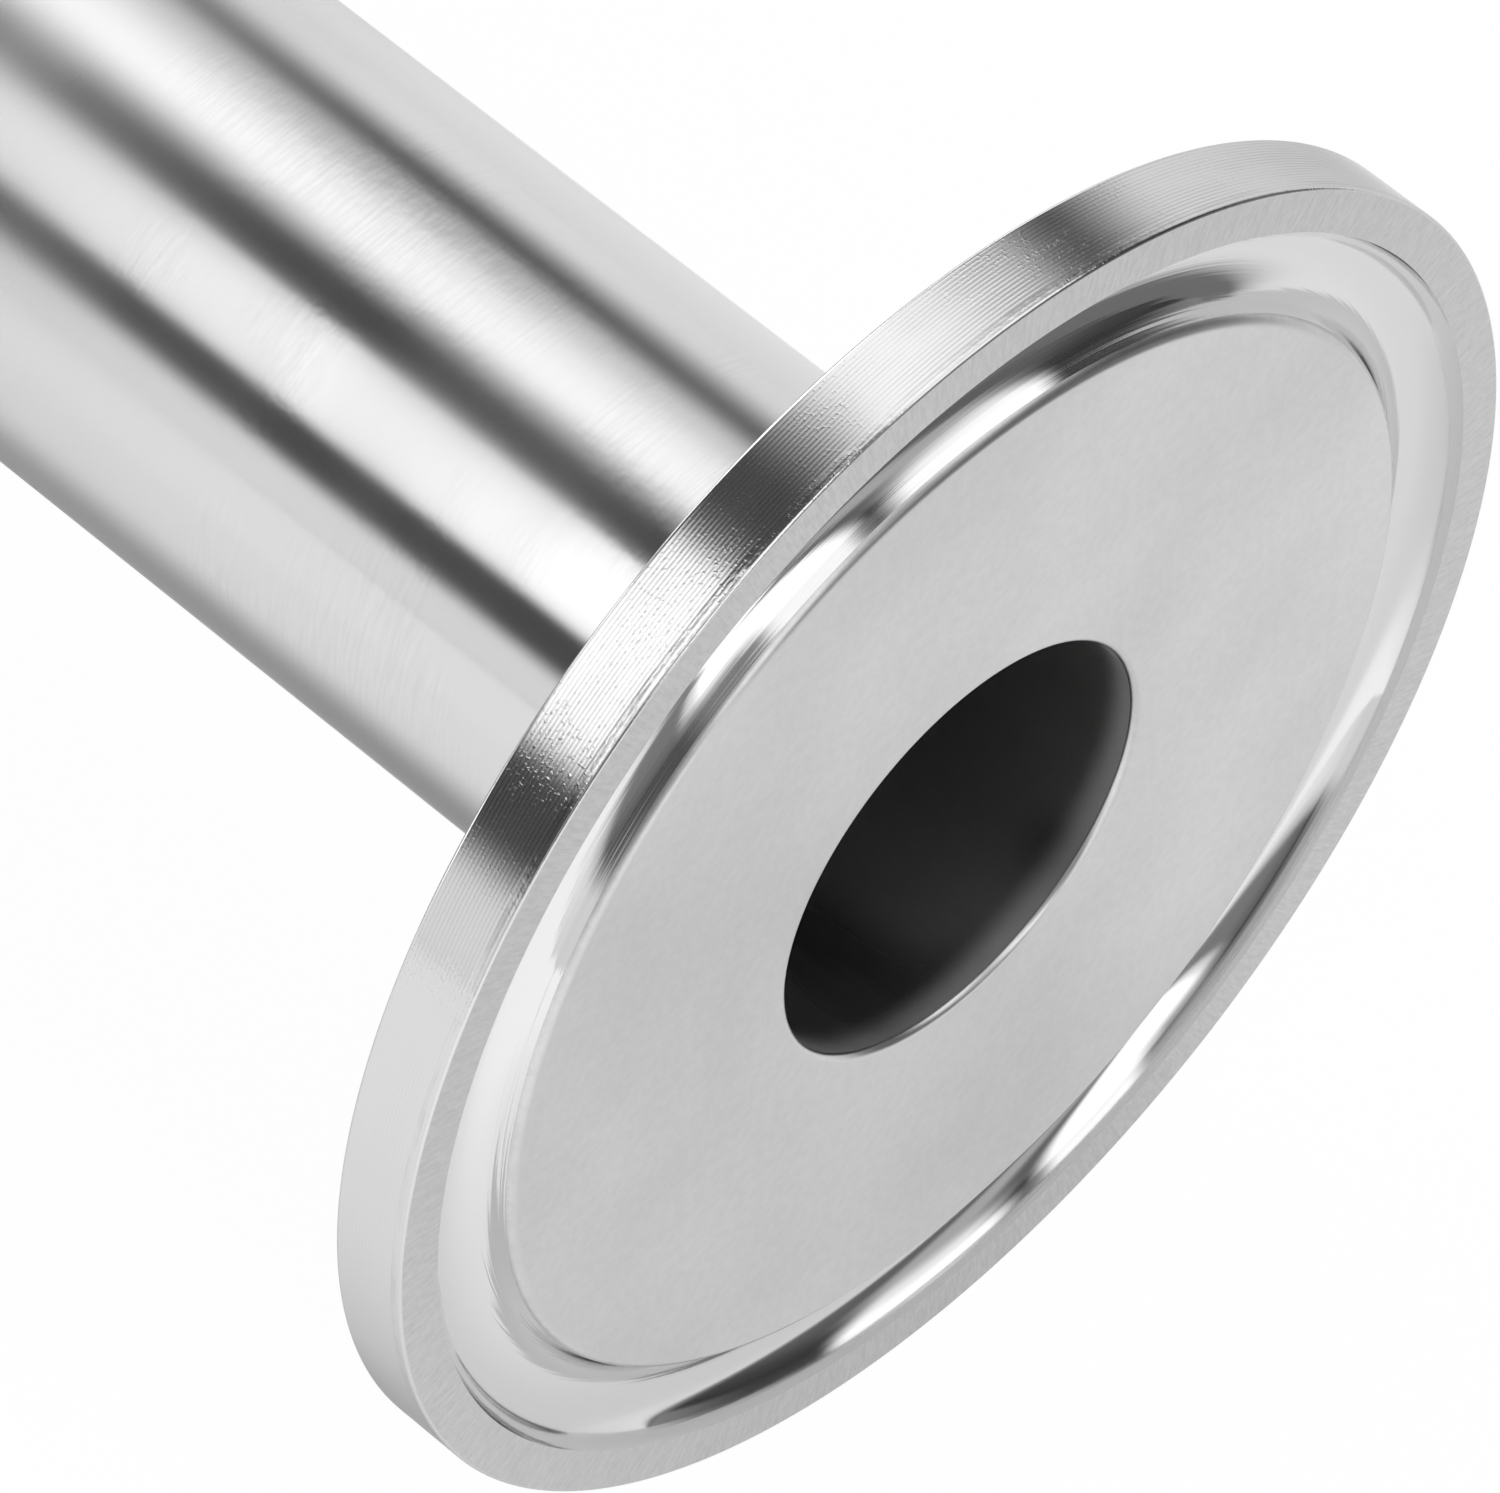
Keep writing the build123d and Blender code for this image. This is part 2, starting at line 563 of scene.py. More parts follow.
@dataclass(frozen=True)
class TurnedRim(Steel):
    """Rim turned with a fine feed; the rings themselves are in the mesh.

    Attributes:
        ring_pitch: Distance between two ridges.
        first_ridge: Depth of the first ridge.
        ridge_shade: How much darker the ridges are painted than the hollows between them, a painted shade.
        plain_side: Where round the axis the painted ridge shade fades out, on the left, where the rim
            reflects a plain wall.
        worn_edge: Depth of a rubbed line close to the front.
        painted_shade_place: Where round the axis that line is strongest; the extra darkening there is painted
            shade.
        worn_shade: How much darker the line is there, rubbed wear with painted shade.
        speck_height: Height of the specks between the rings.
        edge_wear: How much higher the blotches of the front edge are.
    """

    name: str = "turned_rim"
    roughness: float = 0.12
    stretch: float = 0.5
    # Painted shade: the rim is darker at grazing looks, standing in for the shadowed floor it reflects at its
    # edges.
    grazing: float = 0.72
    ring_pitch: float = 0.147 * MM
    first_ridge: float = 0.1 * MM
    ridge_shade: float = 0.26
    plain_side: tuple[float, float] = (-0.86, -0.72)
    worn_edge: float = 0.3 * MM
    painted_shade_place: float = 0.66
    worn_shade: float = 0.32
    speck_height: float = 3.0 * MICRON
    edge_wear: float = 4.0

    def dress(self, graph: NodeGraph, shader: bpy.types.Node, at: LegCoordinates) -> None:
        """Paint shade on the ridges in places, darken a rubbed line close to the front with painted shade
        where it is strongest, and add specks and a blotchy edge.
        """
        marks = graph.math("ADD", self._ridges(graph, at), self._worn_line_and_shade(graph, at))
        self.tint(graph, shader, graph.math("ADD", marks, 1.0))
        patch = graph.remap(at.ring_noise(graph, (9.0, 500.0), 1.0), 0.4, 0.65, 0.25, 1.0)
        speck = graph.remap(at.ring_noise(graph, (200.0, 8000.0), 1.0), 0.56, 0.78, 0.0, 1.0)
        blotch = at.ring_noise(graph, (45.0, 3500.0), 2.0, 0.6)
        edge = graph.remap(at.depth, 0.25 * MM, 0.5 * MM, self.edge_wear, 0.0)
        relief = graph.math("MULTIPLY_ADD", speck, patch, graph.math("MULTIPLY", blotch, edge))
        self.bump(graph, shader, relief, self.speck_height)

    def _ridges(self, graph: NodeGraph, at: LegCoordinates) -> bpy.types.NodeSocket:
        """Paint shade on the ridges between the rings, in patches, fading out on the left.

        Args:
            graph: The material's nodes.
            at: Where the surface point lies.

        Returns:
            What to add to the share of the metal's reflectance.
        """
        offset = 0.5 - self.first_ridge / self.ring_pitch
        place = graph.math("MULTIPLY_ADD", at.depth, 1 / self.ring_pitch, offset)
        ridge = graph.math("ABSOLUTE", graph.math("SUBTRACT", graph.math("FRACT", place), 0.5))
        ridge = graph.remap(ridge, 0.06, 0.24, 1.0, 0.0)
        # Painted shade on the ridges: in patches, and fading out on the left, where the rim reflects a plain
        # wall.
        mark_strength = graph.remap(at.ring_noise(graph, (5.0, 900.0)), 0.35, 0.65, 0.25, 1.0)
        mark_strength = graph.math("MULTIPLY", mark_strength, graph.remap(at.around_x, *self.plain_side, 0.12, 1.0))
        return graph.math("MULTIPLY", graph.math("MULTIPLY", ridge, mark_strength), -self.ridge_shade)

    def _worn_line_and_shade(self, graph: NodeGraph, at: LegCoordinates) -> bpy.types.NodeSocket:
        """Darken the rubbed line close to the front, with painted shade where it is strongest round the axis.

        Args:
            graph: The material's nodes.
            at: Where the surface point lies.

        Returns:
            What to add to the share of the metal's reflectance.
        """
        from_edge = graph.math("ABSOLUTE", graph.math("SUBTRACT", at.depth, self.worn_edge))
        smudge = at.ring_noise(graph, (8.0, 1800.0), 3.0, 0.65)
        rubbed = graph.remap(smudge, 0.35, 0.65, 0.0, -self.worn_shade)
        rubbed = graph.math("MULTIPLY", graph.remap(from_edge, 0.06 * MM, 0.16 * MM, 1.0, 0.0), rubbed)
        # Painted shade: the line is darkest round one place on the rim and only partly darkened elsewhere.
        beside = graph.math("ABSOLUTE", graph.math("ADD", at.around_x, self.painted_shade_place))
        return graph.math("MULTIPLY", graph.remap(beside, 0.1, 0.2, 1.0, 0.35), rubbed)


@dataclass(frozen=True)
class ScratchedLand(Steel):
    """Narrow land outside the groove, rubbed across, so its scratches run outwards."""

    name: str = "scratched_land"
    reflectance: float = 0.61
    roughness: float = 0.3
    scratch_height: float = 12.0 * MICRON

    def dress(self, graph: NodeGraph, shader: bpy.types.Node, at: LegCoordinates) -> None:
        """Add scratches that run outwards, and a fine grain."""
        scratch = at.ring_noise(graph, (170.0, 1300.0), 3.0, 0.65, at.radius)
        self.bump(graph, shader, scratch, self.scratch_height)
        grain = graph.noise(at.position, 4500.0, 2.0, 0.6)
        marks = graph.math("MULTIPLY_ADD", scratch, 0.7, graph.math("MULTIPLY", grain, 0.3))
        self.tint(graph, shader, graph.remap(marks, 0.3, 0.66, 0.87, 1.03))


@dataclass(frozen=True)
class PolishedGroove(Steel):
    """Gasket groove, polished over fine turning lines."""

    name: str = "polished_groove"
    reflectance: float = 0.74
    roughness: float = 0.085
    stretch: float = 1.0
    line_height: float = 14.0 * MICRON

    def dress(self, graph: NodeGraph, shader: bpy.types.Node, at: LegCoordinates) -> None:
        """Add fine lines round the groove, stronger in patches."""
        run = graph.math("ADD", at.radius, at.depth)
        line = at.ring_noise(graph, (1.8, 6600.0), 1.0, run=run)
        patch = graph.remap(at.ring_noise(graph, (2.0, 200.0), 1.0), 0.35, 0.65, 0.35, 1.0)
        self.bump(graph, shader, graph.math("MULTIPLY", line, patch), self.line_height)


@dataclass(frozen=True)
class SatinFace(Steel):
    """Sealing face with a soft satin finish, a little cloudy."""

    name: str = "satin_face"
    reflectance: float = 0.67
    roughness: float = 0.3
    lip_radius: float = 19.95 * MM
    lip_width: float = 0.4 * MM
    grain_height: float = 1.0 * MICRON

    def dress(self, graph: NodeGraph, shader: bpy.types.Node, at: LegCoordinates) -> None:
        """Add soft clouds and the faint marks of lapping."""
        cloud = graph.remap(graph.noise(at.position, 75.0, 3.0, 0.55), 0.3, 0.7, 0.93, 1.05)
        grain = graph.noise(at.position, 2200.0, 3.0, 0.65)
        self.bump(graph, shader, grain, self.grain_height)
        lip = graph.remap(at.radius, self.lip_radius, self.lip_radius + self.lip_width, 0.0, 1.0)
        speckle = graph.math("MULTIPLY", graph.remap(grain, 0.4, 0.6, 0.0, -0.1), lip)
        share = graph.math("MULTIPLY", cloud, graph.remap(grain, 0.3, 0.7, 0.97, 1.03))
        self.tint(graph, shader, graph.math("ADD", share, speckle))


@dataclass(frozen=True)
class BoreSteel(Steel):
    """Inside of the flow path, polished less than the outside, with a darker base colour that is painted
    shade for the deep bore.
    """

    name: str = "bore_steel"
    # Painted shade: the bore's base colour is set darker than the outside steel's.
    reflectance: float = 0.5
    roughness: float = 0.25
    dullness: float = 0.1
    mouth_haze: float = 0.3
    mark_height: float = 6.0 * MICRON

    def dress(self, graph: NodeGraph, shader: bpy.types.Node, at: LegCoordinates) -> None:
        """Add the draw marks that run along the bore, duller stretches and a rubbed mouth."""
        mark = at.ring_noise(graph, (14.0, 25.0), 2.0, 0.6)
        self.bump(graph, shader, mark, self.mark_height)
        stretch = at.ring_noise(graph, (1.3, 90.0), 1.0)
        dull = graph.remap(stretch, 0.4, 0.6, self.roughness, self.roughness + self.dullness)
        mouth = graph.remap(at.depth, 0.3 * MM, 1.6 * MM, self.mouth_haze, 0.0)
        haze = graph.math("ADD", dull, mouth)
        graph.tree.links.new(haze, shader.inputs["Roughness"])


@dataclass
class Ferrule:
    """One turned ferrule: a grooved sealing face, a thin rim, a conical back and a hub.

    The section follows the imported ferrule, with the turning rings of its rim added.
    """

    sizes: WyeSizes
    back_cone_angle: float = 20.0
    hub_fillet_radius: float = 2.0 * MM
    groove_outer_radius: float = 23.6 * MM
    groove_depth: float = 1.5 * MM
    groove_floor_radius: float = 1.6 * MM
    groove_wall_angle: float = 65.0
    groove_inner_round: float = 0.4 * MM
    rim_thickness: float = 2.85 * MM
    rim_front_round: float = 0.1 * MM
    rim_rear_round: float = 0.15 * MM
    bore_edge_round: float = 0.25 * MM
    ring_count: int = 18
    tool_nose_radius: float = 1.3 * MM
    segments: int = 384
    finishes: dict = field(default_factory=lambda: {
        Zone.HUB: PolishedTube(),
        Zone.RIM: TurnedRim(),
        Zone.LAND: ScratchedLand(),
        Zone.GROOVE: PolishedGroove(),
        Zone.FACE: SatinFace(),
        Zone.BORE: BoreSteel(),
    })

    def __post_init__(self) -> None:
        """Tell the rim's finish where the ridges are."""
        self.finishes[Zone.RIM] = TurnedRim(ring_pitch=self.ring_pitch, first_ridge=self.rim_front_round)

    @property
    def rear_depth(self) -> float:
        """Depth at which the rim's rear round starts."""
        half_turn = math.radians(90.0 - self.back_cone_angle) / 2
        return self.rim_thickness - self.rim_rear_round * math.tan(half_turn)

    @property
    def ring_pitch(self) -> float:
        """Distance between two ridges on the rim."""
        return (self.rear_depth - self.rim_front_round) / self.ring_count

    def section(self) -> TurnedSection:
        """Draw the half section, from the bore's mouth outwards and round to the bore again.

        Returns:
            The section.
        """
        s = self.sizes
        section = TurnedSection(s.bore_radius, self.bore_edge_round)
        section.arc((s.bore_radius + self.bore_edge_round, self.bore_edge_round), 90.0, 8)
        self._groove(section)
        section.line_to(s.flange_radius - self.rim_front_round, 0.0)
        section.arc((s.flange_radius - self.rim_front_round, self.rim_front_round), 90.0, 8)
        self._rings(section)
        section.arc((s.flange_radius - self.rim_rear_round, self.rear_depth), 90.0 - self.back_cone_angle, 5)
        self._back(section)
        section.line_to(s.bore_radius, s.ferrule_length)
        section.line_to(s.bore_radius, self.bore_edge_round)
        return section

    def _groove(self, section: TurnedSection) -> None:
        """Add the sealing face and the groove: a round lip, a straight inner wall and a round floor.

        Args:
            section: The section, drawn up to the bore's edge.
        """
        slope = math.radians(self.groove_wall_angle)
        floor, lip = self.groove_floor_radius, self.groove_inner_round
        centre_depth = self.groove_depth - floor
        centre_radius = self.groove_outer_radius - math.sqrt(floor**2 - centre_depth**2)
        foot_radius = centre_radius - floor * math.sin(slope)
        foot_depth = centre_depth + floor * math.cos(slope)
        mouth_radius = foot_radius - foot_depth / math.tan(slope)
        lip_radius = mouth_radius - lip * math.tan(slope / 2)
        section.line_to(lip_radius, 0.0)
        section.arc((lip_radius, lip), self.groove_wall_angle, 12)
        section.line_to(foot_radius, foot_depth)
        start = math.degrees(math.atan2(foot_depth - centre_depth, foot_radius - centre_radius))
        end = math.degrees(math.asin(-centre_depth / floor))
        section.arc((centre_radius, centre_depth), end - start, 56)

    def _rings(self, section: TurnedSection) -> None:
        """Add the rim: a row of shallow hollows that the tool's nose left, with a ridge between each two.

        Args:
            section: The section, drawn up to the rim's front.
        """
        half_angle = math.asin(self.ring_pitch / 2 / self.tool_nose_radius)
        centre_radius = self.sizes.flange_radius + self.tool_nose_radius * math.cos(half_angle)
        for ring in range(self.ring_count):
            middle = self.rim_front_round + (ring + 0.5) * self.ring_pitch
            section.arc((centre_radius, middle), -2 * math.degrees(half_angle), 6)

    def _back(self, section: TurnedSection) -> None:
        """Add the conical back, the hub's fillet and the hub."""
        s = self.sizes
        slope = math.radians(self.back_cone_angle)
        fillet = self.hub_fillet_radius
        fillet_radius = s.tube_radius + fillet
        tangent_radius = fillet_radius - fillet * math.sin(slope)
        tangent_depth = self.rim_thickness + (s.flange_radius - tangent_radius) * math.tan(slope)
        centre_depth = tangent_depth + fillet * math.cos(slope)
        section.line_to(tangent_radius, tangent_depth)
        section.arc((fillet_radius, centre_depth), -(90.0 - self.back_cone_angle), 12)
        section.line_to(s.tube_radius, s.ferrule_length)

    def _zone(self, radius: float, depth: float) -> Zone:
        """Name the zone of a face of the ferrule.

        Args:
            radius: Radius of the face's middle.
            depth: Depth of the face's middle.

        Returns:
            The zone.
        """
        s = self.sizes
        outer = self.groove_outer_radius
        inner = outer - 2 * self.groove_floor_radius
        if depth > self.bore_edge_round and radius < (s.bore_radius + s.tube_radius) / 2:
            return Zone.BORE
        behind_rim = radius < s.flange_radius - self.rim_rear_round * 1.01
        if behind_rim and depth > self.groove_depth + self.rim_rear_round:
            return Zone.HUB
        if radius < inner:
            return Zone.FACE
        if radius < outer:
            return Zone.GROOVE
        if depth < self.rim_front_round / 2 and radius < s.flange_radius - self.rim_front_round:
            return Zone.LAND
        return Zone.RIM

    def build(self) -> list[bpy.types.Object]:
        """Turn one ferrule and set a copy of it on each leg.

        Returns:
            The three ferrules.
        """
        turned = self.section().revolve(self.segments)
        for face in turned.faces:
            middle = face.calc_center_median()
            face.material_index = self._zone(math.hypot(middle.x, middle.z), middle.y).value
        pieces = [self._fit(turned.copy(), leg) for leg in Leg]
        turned.free()
        return pieces

    def _fit(self, mesh: bmesh.types.BMesh, leg: Leg) -> bpy.types.Object:
        """Set a turned ferrule on a leg.

        Args:
            mesh: The turned ferrule, in the leg's own frame.
            leg: The leg.

        Returns:
            The ferrule.
        """
        mesh.transform(self.sizes.place(leg))
        zones = sorted(self.finishes, key=lambda zone: zone.value)
        materials = [self.finishes[zone].material(self.sizes, leg) for zone in zones]
        piece = finish_mesh(mesh, f"{leg.value}_ferrule_turned", materials)
        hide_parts(leg.ferrule_node)
        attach(piece, BODY)
        return piece


@dataclass
class LegTube:
    """One leg's tube, from the end of its ferrule to the weld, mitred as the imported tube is."""

    sizes: WyeSizes
    segments: int = 384
    finish: PolishedTube = PolishedTube()
    inside: BoreSteel = BoreSteel()

    def build(self) -> list[bpy.types.Object]:
        """Draw one tube and mitre a copy of it for each leg.

        Returns:
            The three tubes.
        """
        s = self.sizes
        leg_length = s.junction.y
        section = TurnedSection(s.bore_radius, s.ferrule_length)
        section.line_to(s.tube_radius, s.ferrule_length)
        section.line_to(s.tube_radius, leg_length)
        section.line_to(s.bore_radius, leg_length)
        section.line_to(s.bore_radius, s.ferrule_length)
        drawn = section.revolve(self.segments)
        middle_radius = (s.tube_radius + s.bore_radius) / 2
        for face in drawn.faces:
            middle = face.calc_center_median()
            face.material_index = int(math.hypot(middle.x, middle.z) < middle_radius)
        pieces = [self._fit(drawn.copy(), leg) for leg in Leg]
        drawn.free()
        return pieces

    def _fit(self, mesh: bmesh.types.BMesh, leg: Leg) -> bpy.types.Object:
        """Set a drawn tube on a leg and mitre it.

        Args:
            mesh: The tube, in the leg's own frame.
            leg: The leg.

        Returns:
            The tube.
        """
        s = self.sizes
        mesh.transform(s.place(leg))
        self._mitre(mesh, leg)
        materials = [self.finish.material(s, leg), self.inside.material(s, leg)]
        piece = finish_mesh(mesh, f"{leg.value}_tube_polished", materials)
        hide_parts(leg.tube_node)
        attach(piece, BODY)
        return piece

    def _mitre(self, mesh: bmesh.types.BMesh, leg: Leg) -> None:
        """Cut the tube back to the weld's edge at each of its two mitre planes.

        Args:
            mesh: The tube, in place.
            leg: The leg.
        """
        s = self.sizes
        for other in Leg:
            if other is leg:
                continue
            normal = (s.directions[other] - s.directions[leg]).normalized()
            bmesh.ops.bisect_plane(
                mesh, geom=mesh.verts[:] + mesh.edges[:] + mesh.faces[:], dist=0.0001 * MM,
                plane_co=s.junction - normal * s.weld_half_width, plane_no=normal, clear_outer=True,
            )
        bmesh.ops.bridge_loops(mesh, edges=[edge for edge in mesh.edges if edge.is_boundary])
        bmesh.ops.recalc_face_normals(mesh, faces=mesh.faces[:])


@dataclass(frozen=True)
class Panel:
    """A softbox or a bright wall that hangs along the stem, between two angles about the stem's axis.

    Attributes:
        name: What it is.
        radiance: How much it adds to the studio's light.
        angles: Its two edges, in degrees from straight up towards the left of the stem.
        fades: How wide the blur of each edge is, in degrees.
    """

    name: str
    radiance: float
    angles: tuple[float, float]
    fades: tuple[float, float]

    def stops(self) -> list[float]:
        """List the angles between which its light changes."""
        return [edge + side * fade / 2 for edge, fade in zip(self.angles, self.fades) for side in (-1, 1)]

    def light(self, angle: float) -> float:
        """Work out its radiance at an angle.

        Args:
            angle: The angle.

        Returns:
            The radiance.
        """
        share = 1.0
        for edge, fade, side in zip(self.angles, self.fades, (1, -1)):
            step = min(max(0.5 + side * (angle - edge) / fade, 0.0), 1.0)
            share *= step * step * (3 - 2 * step)
        return self.radiance * share


@dataclass(frozen=True)
class Station:
    """The panels that hang at one stretch of the studio, seen from the part.

    Attributes:
        slants: The stretch, from -1 in front of the stem's face to 1 behind the junction.
        dimness: Light between the panels.
        panels: The panels.
    """

    slants: tuple[float, float]
    dimness: float
    panels: tuple[Panel, ...]

    def ramp(self, graph: NodeGraph, place: bpy.types.NodeSocket, peak: float) -> bpy.types.NodeSocket:
        """Draw the panels as one colour ramp round the stem's axis.

        Args:
            graph: The world's nodes.
            place: Where a direction lies on the ramp, 0 to 1.
            peak: Radiance of the ramp's white.

        Returns:
            The ramp's colour.
        """
        ramp = graph.node("ShaderNodeValToRGB", {0: place})
        ramp.color_ramp.interpolation = "EASE"
        angles = {min(max(stop, -180.0), 180.0) for panel in self.panels for stop in panel.stops()}
        elements = ramp.color_ramp.elements
        while len(elements) < len(angles):
            elements.new(1.0)
        for element, angle in zip(elements, sorted(angles)):
            light = self.dimness + sum(panel.light(angle) for panel in self.panels)
            element.position = angle / 360 + 0.5
            element.color = (*[light / peak] * 3, 1.0)
        return ramp.outputs["Color"]


FAR_RIGHT = (
    Panel("right wall", 0.87, (-300, -67), (10, 24)),
    Panel("right softbox", 1.15, (-36.5, -6), (25, 20)),
    Panel("right softbox's spill", 0.42, (-54.5, -38), (8, 18)),
)


@dataclass
class Studio:
    """Floor, lights and camera.

    Attributes:
        sizes: The wye's sizes.
        peak: Radiance of a ramp's white.
        rise: How much brighter the studio gets with the slant.
        rise_slants: Slant up to which it doesn't, and slant at which the ramps hold as they are.
        stations: The panels along the stem, from the front to the back.
        back_light: How much brighter the studio is behind the junction.
        back_slants: Slants between which that light grows.
        floor_reach: Half the floor's width.
        floor_albedo: Reflectance of the floor.
        floor_glow: Light of the floor itself.
        left_glow: A painted pool of more of that light on the left, beside the stem and in front of its face.
        corner_shade: Painted shade: how much darker metal sees the floor at the front right.
        tube_shade: Painted shadow: how much darker metal sees it under the stem, where the floor's glow is
            also left out.
        white_share: How white the floor is for the camera, and for metal.
        camera_place: Place of the camera.
        camera_heading: Its turn about the upright axis.
        camera_drop: Its look downwards.
        focal_length: Its focal length in millimetres.
        film_width: Its film's width in millimetres.
    """

    sizes: WyeSizes
    peak: float = 2.0
    rise: float = 0.9
    rise_slants: tuple[float, float] = (0.2, 0.43)
    stations: tuple[Station, ...] = (
        Station((-1.0, -0.8), 0.18, (
            Panel("right softbox", 0.45, (-60, -25), (14, 16)),
            Panel("left softbox", 1.7, (-7.5, 41), (10, 10)),
            Panel("gap on the left", 0.12, (38, 70), (6, 12)),
            Panel("left wall", 1.1, (74, 300), (16, 10)),
        )),
        Station((-0.53, -0.48), 0.08, (
            Panel("right softbox", 1.3, (-50, -17), (14, 14)),
            Panel("left softbox", 1.7, (-5.5, 22), (7, 10)),
            Panel("left softbox's spill", 0.5, (20, 40), (8, 12)),
            Panel("gap on the left", 0.14, (38, 70), (8, 8)),
            Panel("left wall", 1.08, (72.5, 300), (9, 10)),
        )),
        Station((-0.44, -0.38), 0.06, (
            Panel("right softbox", 1.6, (-50, -12), (12, 12)),
            Panel("left softbox", 1.5, (-4, 20), (8, 8)),
            Panel("left softbox's spill", 0.2, (20, 40), (6, 10)),
            Panel("left wall", 1.0, (73, 300), (9, 10)),
        )),
        Station((-0.31, -0.02), 0.08, (
            Panel("right wall", 0.3, (-300, -82), (10, 32)),
            Panel("right softbox", 1.7, (-49.5, -11), (7, 11)),
            Panel("left softbox", 1.65, (-3.5, 19), (8, 7)),
            Panel("grey side", 0.5, (18, 73), (8, 8)),
            Panel("left wall", 0.95, (73, 300), (9, 10)),
        )),
        Station((0.2, 0.36), 0.08, (
            Panel("right wall", 0.87, (-300, -66), (10, 20)),
            Panel("right softbox", 1.5, (-47.5, -10), (9, 14)),
            Panel("left softbox", 1.35, (15.5, 51), (9, 9)),
            Panel("left wall", 0.8, (73.5, 300), (10, 10)),
        )),
        Station((0.45, 0.46), 0.08, (
            *FAR_RIGHT,
            Panel("left softbox", 1.8, (18.3, 54.6), (6, 6)),
            Panel("left softbox's core", 0.12, (30, 44), (12, 16)),
            Panel("left wall", 0.85, (73.5, 300), (9, 10)),
            Panel("seam in the left wall", -0.1, (88.5, 93), (3, 3)),
        )),
        Station((0.5, 1.0), 0.08, (
            *FAR_RIGHT,
            Panel("left softbox", 0.5, (23.5, 55), (9, 8)),
            Panel("left wall", 0.85, (73.5, 300), (9, 10)),
        )),
    )
    back_light: float = 1.2
    back_slants: tuple[float, float] = (0.58, 0.85)
    floor_reach: float = 3.0
    floor_albedo: float = 0.9
    floor_glow: float = 0.2
    left_glow: tuple[float, float] = (0.09, 0.25)
    corner_shade: float = 0.8
    tube_shade: float = 0.3
    white_share: tuple[float, float] = (0.975, 0.12)
    camera_place: tuple[float, float, float] = (-176.861 * MM, -165.277 * MM, 321.474 * MM)
    camera_heading: float = 45.321
    camera_drop: float = 52.551
    focal_length: float = 301.04
    film_width: float = 36.0

    def build_world(self) -> None:
        """Hang the panels round the stem's axis; the camera sees plain white behind the floor."""
        world = bpy.data.worlds.new("studio")
        world.use_nodes = True
        world.cycles.sampling_method = "NONE"
        bpy.context.scene.world = world
        graph = NodeGraph(world.node_tree)
        looking = graph.node("ShaderNodeTexCoord").outputs["Generated"]
        x, slant, z = graph.node("ShaderNodeSeparateXYZ", {0: looking}).outputs
        angle = graph.math("ARCTAN2", graph.math("MULTIPLY", x, -1.0), z)
        place = graph.math("MULTIPLY_ADD", angle, 1 / math.tau, 0.5)
        light = self.stations[0].ramp(graph, place, self.peak)
        for before, after in zip(self.stations, self.stations[1:]):
            share = graph.remap(slant, before.slants[1], after.slants[0], 0.0, 1.0)
            colours = {"Factor": share, 6: light, 7: after.ramp(graph, place, self.peak)}
            light = graph.node("ShaderNodeMix", colours, data_type="RGBA").outputs[2]
        low, level = self.rise_slants
        rise = graph.math("MULTIPLY_ADD", graph.math("MAXIMUM", slant, low), self.rise, 1 - level * self.rise)
        behind = graph.remap(slant, *self.back_slants, 0.0, self.back_light)
        strength = graph.math("MULTIPLY", graph.math("ADD", rise, behind), self.peak)
        strips = graph.node("ShaderNodeBackground", {"Color": light, "Strength": strength})
        plain = graph.node("ShaderNodeBackground", {"Color": (1.0, 1.0, 1.0, 1.0), "Strength": 1.0})
        seen = graph.node("ShaderNodeLightPath").outputs["Is Camera Ray"]
        mix = graph.node("ShaderNodeMixShader", {0: seen, 1: strips.outputs[0], 2: plain.outputs[0]})
        output = graph.node("ShaderNodeOutputWorld")
        graph.tree.links.new(mix.outputs[0], output.inputs["Surface"])

    def build_floor(self) -> bpy.types.Object:
        """Lay the white floor under the rims.

        It glows a little, with a painted pool of light on the left, and keeps the part's shadow. Metal sees
        it with a painted shadow under the stem's tube and painted shade at the front right.

        Returns:
            The floor.
        """
        mesh = bmesh.new()
        bmesh.ops.create_grid(mesh, x_segments=1, y_segments=1, size=self.floor_reach)
        mesh.transform(Matrix.Translation((0.0, 0.0, self.sizes.floor_height)))
        material = bpy.data.materials.new("white_floor")
        material.use_nodes = True
        graph = NodeGraph(material.node_tree)
        rays = graph.node("ShaderNodeLightPath").outputs
        place = graph.node("ShaderNodeTexCoord").outputs["Object"]
        x, y, _ = graph.node("ShaderNodeSeparateXYZ", {0: place}).outputs
        side_glow, front_glow = self.left_glow
        # Painted light: a pool of extra glow on the floor left of the stem and in front of its face.
        left_light = graph.remap(y, -0.05, 0.0, front_glow, side_glow)
        left_light = graph.math("MULTIPLY", graph.remap(x, -0.03, 0.0, 1.0, 0.0), left_light)
        # Mask of the floor away from under the stem's tube; the glow is left out under the tube, a painted
        # shadow.
        left_of_tube = graph.remap(x, -0.03, -0.01, 1.0, 0.0)
        beside = graph.math("MAXIMUM", left_of_tube, graph.remap(x, -0.006, 0.01, 0.0, 1.0))
        open_share = graph.math("MAXIMUM", beside, graph.remap(y, 0.0, 0.015, 1.0, 0.0))
        # Painted shade that metal sees on the floor at the front right.
        to_right = graph.remap(x, 0.01, 0.07, 0.0, self.corner_shade)
        in_corner = graph.math("MULTIPLY", to_right, graph.remap(y, -0.07, -0.02, 1.0, 0.0))
        matt = graph.node("ShaderNodeBsdfDiffuse", {"Color": (*[self.floor_albedo] * 3, 1.0)})
        strength = graph.math("MULTIPLY", graph.math("ADD", left_light, self.floor_glow), open_share)
        glow = graph.node("ShaderNodeEmission", {"Strength": strength})
        lit = graph.node("ShaderNodeAddShader", {0: matt.outputs[0], 1: glow.outputs[0]})
        white = graph.node("ShaderNodeEmission", {"Strength": 1.0})
        in_metal = graph.math("ADD", rays["Is Glossy Ray"], rays["Is Transmission Ray"], clamp=True)
        seen_white, metal_white = self.white_share
        share = graph.math("MULTIPLY", in_metal, metal_white)
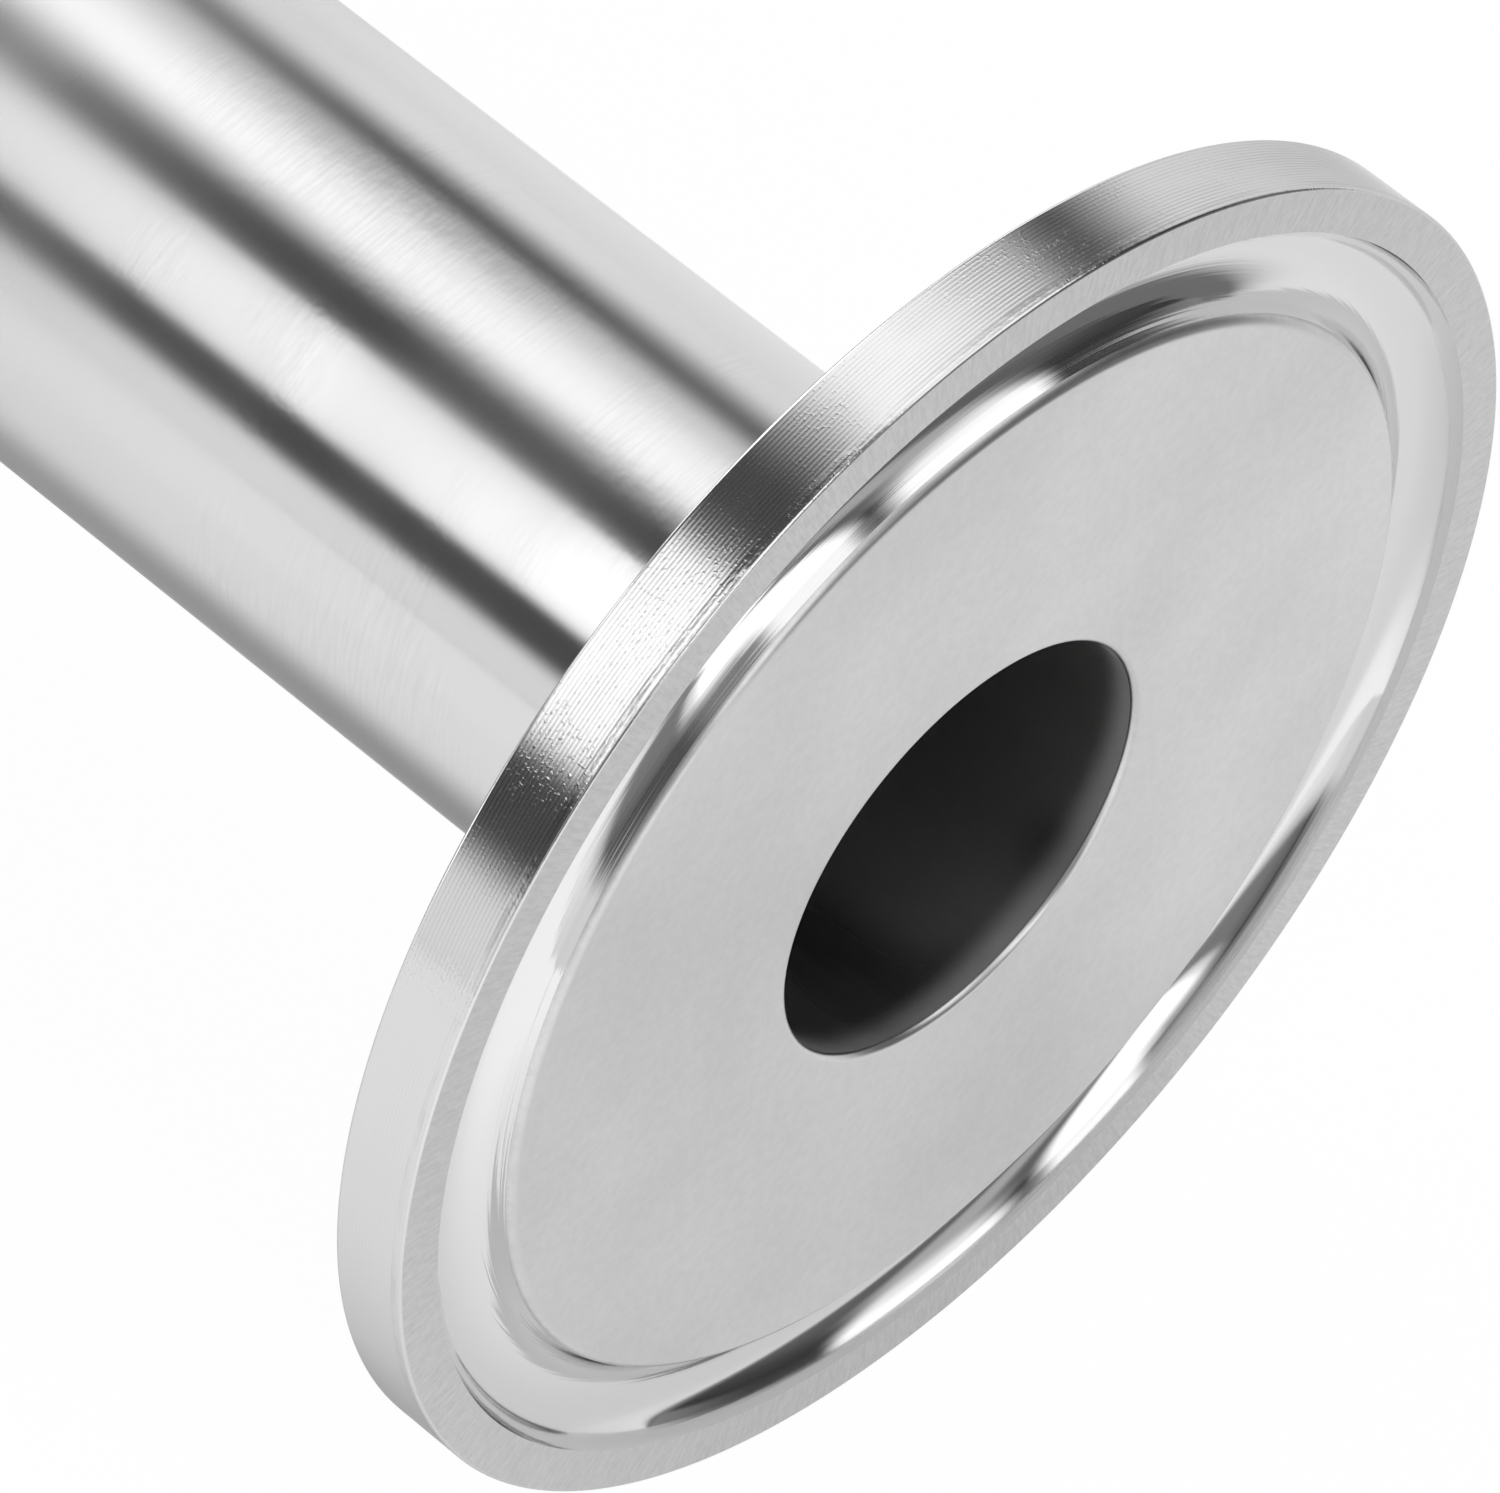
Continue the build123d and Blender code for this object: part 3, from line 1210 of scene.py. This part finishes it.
        share = graph.math("MULTIPLY_ADD", rays["Is Camera Ray"], seen_white, share, clamp=True)
        mix = graph.node("ShaderNodeMixShader", {0: share, 1: lit.outputs[0], 2: white.outputs[0]})
        # Painted shadow under the stem's tube and painted shade at the front right, mixed towards black for
        # metal only.
        under_tube = graph.math("MULTIPLY_ADD", open_share, -self.tube_shade, self.tube_shade)
        shade = graph.math("MULTIPLY", graph.math("ADD", in_corner, under_tube), in_metal, clamp=True)
        black = graph.node("ShaderNodeEmission", {"Strength": 0.0})
        dimmed = graph.node("ShaderNodeMixShader", {0: shade, 1: mix.outputs[0], 2: black.outputs[0]})
        output = graph.node("ShaderNodeOutputMaterial")
        graph.tree.links.new(dimmed.outputs[0], output.inputs["Surface"])
        floor = finish_mesh(mesh, "floor", [material])
        return floor

    def build_camera(self) -> None:
        """Set the camera where the photograph's was: close, high and to the left of the stem's face."""
        data = bpy.data.cameras.new("camera")
        data.sensor_width = self.film_width
        data.lens = self.focal_length
        data.clip_start = 0.01
        data.clip_end = 100.0
        camera = bpy.data.objects.new("camera", data)
        tilt = math.radians(90.0 - self.camera_drop)
        camera.rotation_euler = (tilt, 0.0, -math.radians(self.camera_heading))
        camera.location = self.camera_place
        bpy.context.scene.collection.objects.link(camera)
        bpy.context.scene.camera = camera


def dress_weld(frame: dict, sizes: WyeSizes) -> None:
    """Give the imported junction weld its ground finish.

    Args:
        frame: The loaded frame.
        sizes: The wye's sizes.
    """
    material = PolishedTube(name="ground_weld", roughness=0.18).material(sizes, Leg.STEM)
    for slot in frame["nodes"]["junction_weld"].material_slots:
        slot.material = material


def main() -> None:
    """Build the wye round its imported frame, then the studio, and report each piece."""
    logging.basicConfig(level=logging.INFO, format="%(name)s: %(message)s")
    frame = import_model()
    sizes = WyeSizes.from_frame(frame)
    for piece in Ferrule(sizes).build() + LegTube(sizes).build():
        log.info("%s: %d faces", piece.name, len(piece.data.polygons))
    dress_weld(frame, sizes)
    studio = Studio(sizes)
    studio.build_world()
    studio.build_floor()
    studio.build_camera()
    bpy.context.scene.view_settings.view_transform = "Standard"


if __name__ == "__main__":
    main()
